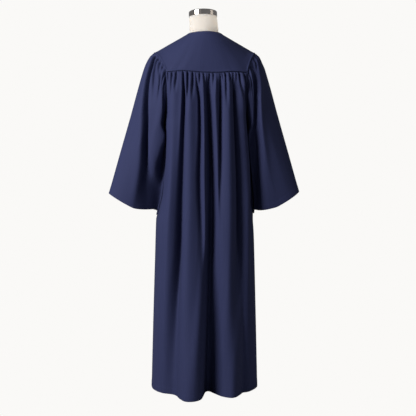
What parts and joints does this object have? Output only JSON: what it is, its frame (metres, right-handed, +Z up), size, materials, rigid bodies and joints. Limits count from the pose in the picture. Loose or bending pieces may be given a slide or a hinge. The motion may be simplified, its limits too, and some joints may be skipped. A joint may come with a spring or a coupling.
{
  "type": "choir robe on a limbless dress form",
  "caption": "Floor-length navy choir robe with a smooth yoke, gathered body and wide open sleeves, hung on a limbless linen dress form that stands on a flat base.",
  "frame": {"origin": "middle of the base's underside, on the floor below the pole", "axes": "+X across, towards the sleeve on the right of a view from behind; the robe's back faces -Y and its front +Y; +Z up"},
  "size_m": [0.752, 0.3607, 1.5045],
  "materials": {
    "robe_cloth": "matte navy polyester weave",
    "binding_cloth": "matte navy polyester weave, folded and edge stitched",
    "zip_tape_cloth": "woven tape",
    "zip_nylon": "nylon coil",
    "zip_metal": "plated",
    "form_linen": "cream linen cover",
    "form_cap_steel": "polished",
    "form_steel": "satin"
  },
  "bodies": {
    "robe_on_form": {"back_yoke": "robe_cloth", "back_panel": "robe_cloth", "front_yoke_left": "robe_cloth", "front_yoke_right": "robe_cloth", "front_left": "robe_cloth", "front_right": "robe_cloth", "sleeve_left": "robe_cloth", "sleeve_right": "robe_cloth", "neck_binding": "binding_cloth", "zip_tape_left": "zip_tape_cloth", "zip_tape_right": "zip_tape_cloth", "zip_coil": "zip_nylon", "zip_slider": "zip_metal", "form_torso": "form_linen", "form_neck_cap": "form_cap_steel", "form_pole": "form_steel", "form_base": "form_steel"},
    "pull_tab": {"zip_pull": "zip_metal"}
  },
  "joints": [
    {"name": "pull_tab_swing", "type": "hinge", "parent": "robe_on_form", "child": "pull_tab", "pos_m": [0, 0.09138, 1.32606], "axis": [1, 0, 0], "range_deg": [0, 165]}
  ]
}
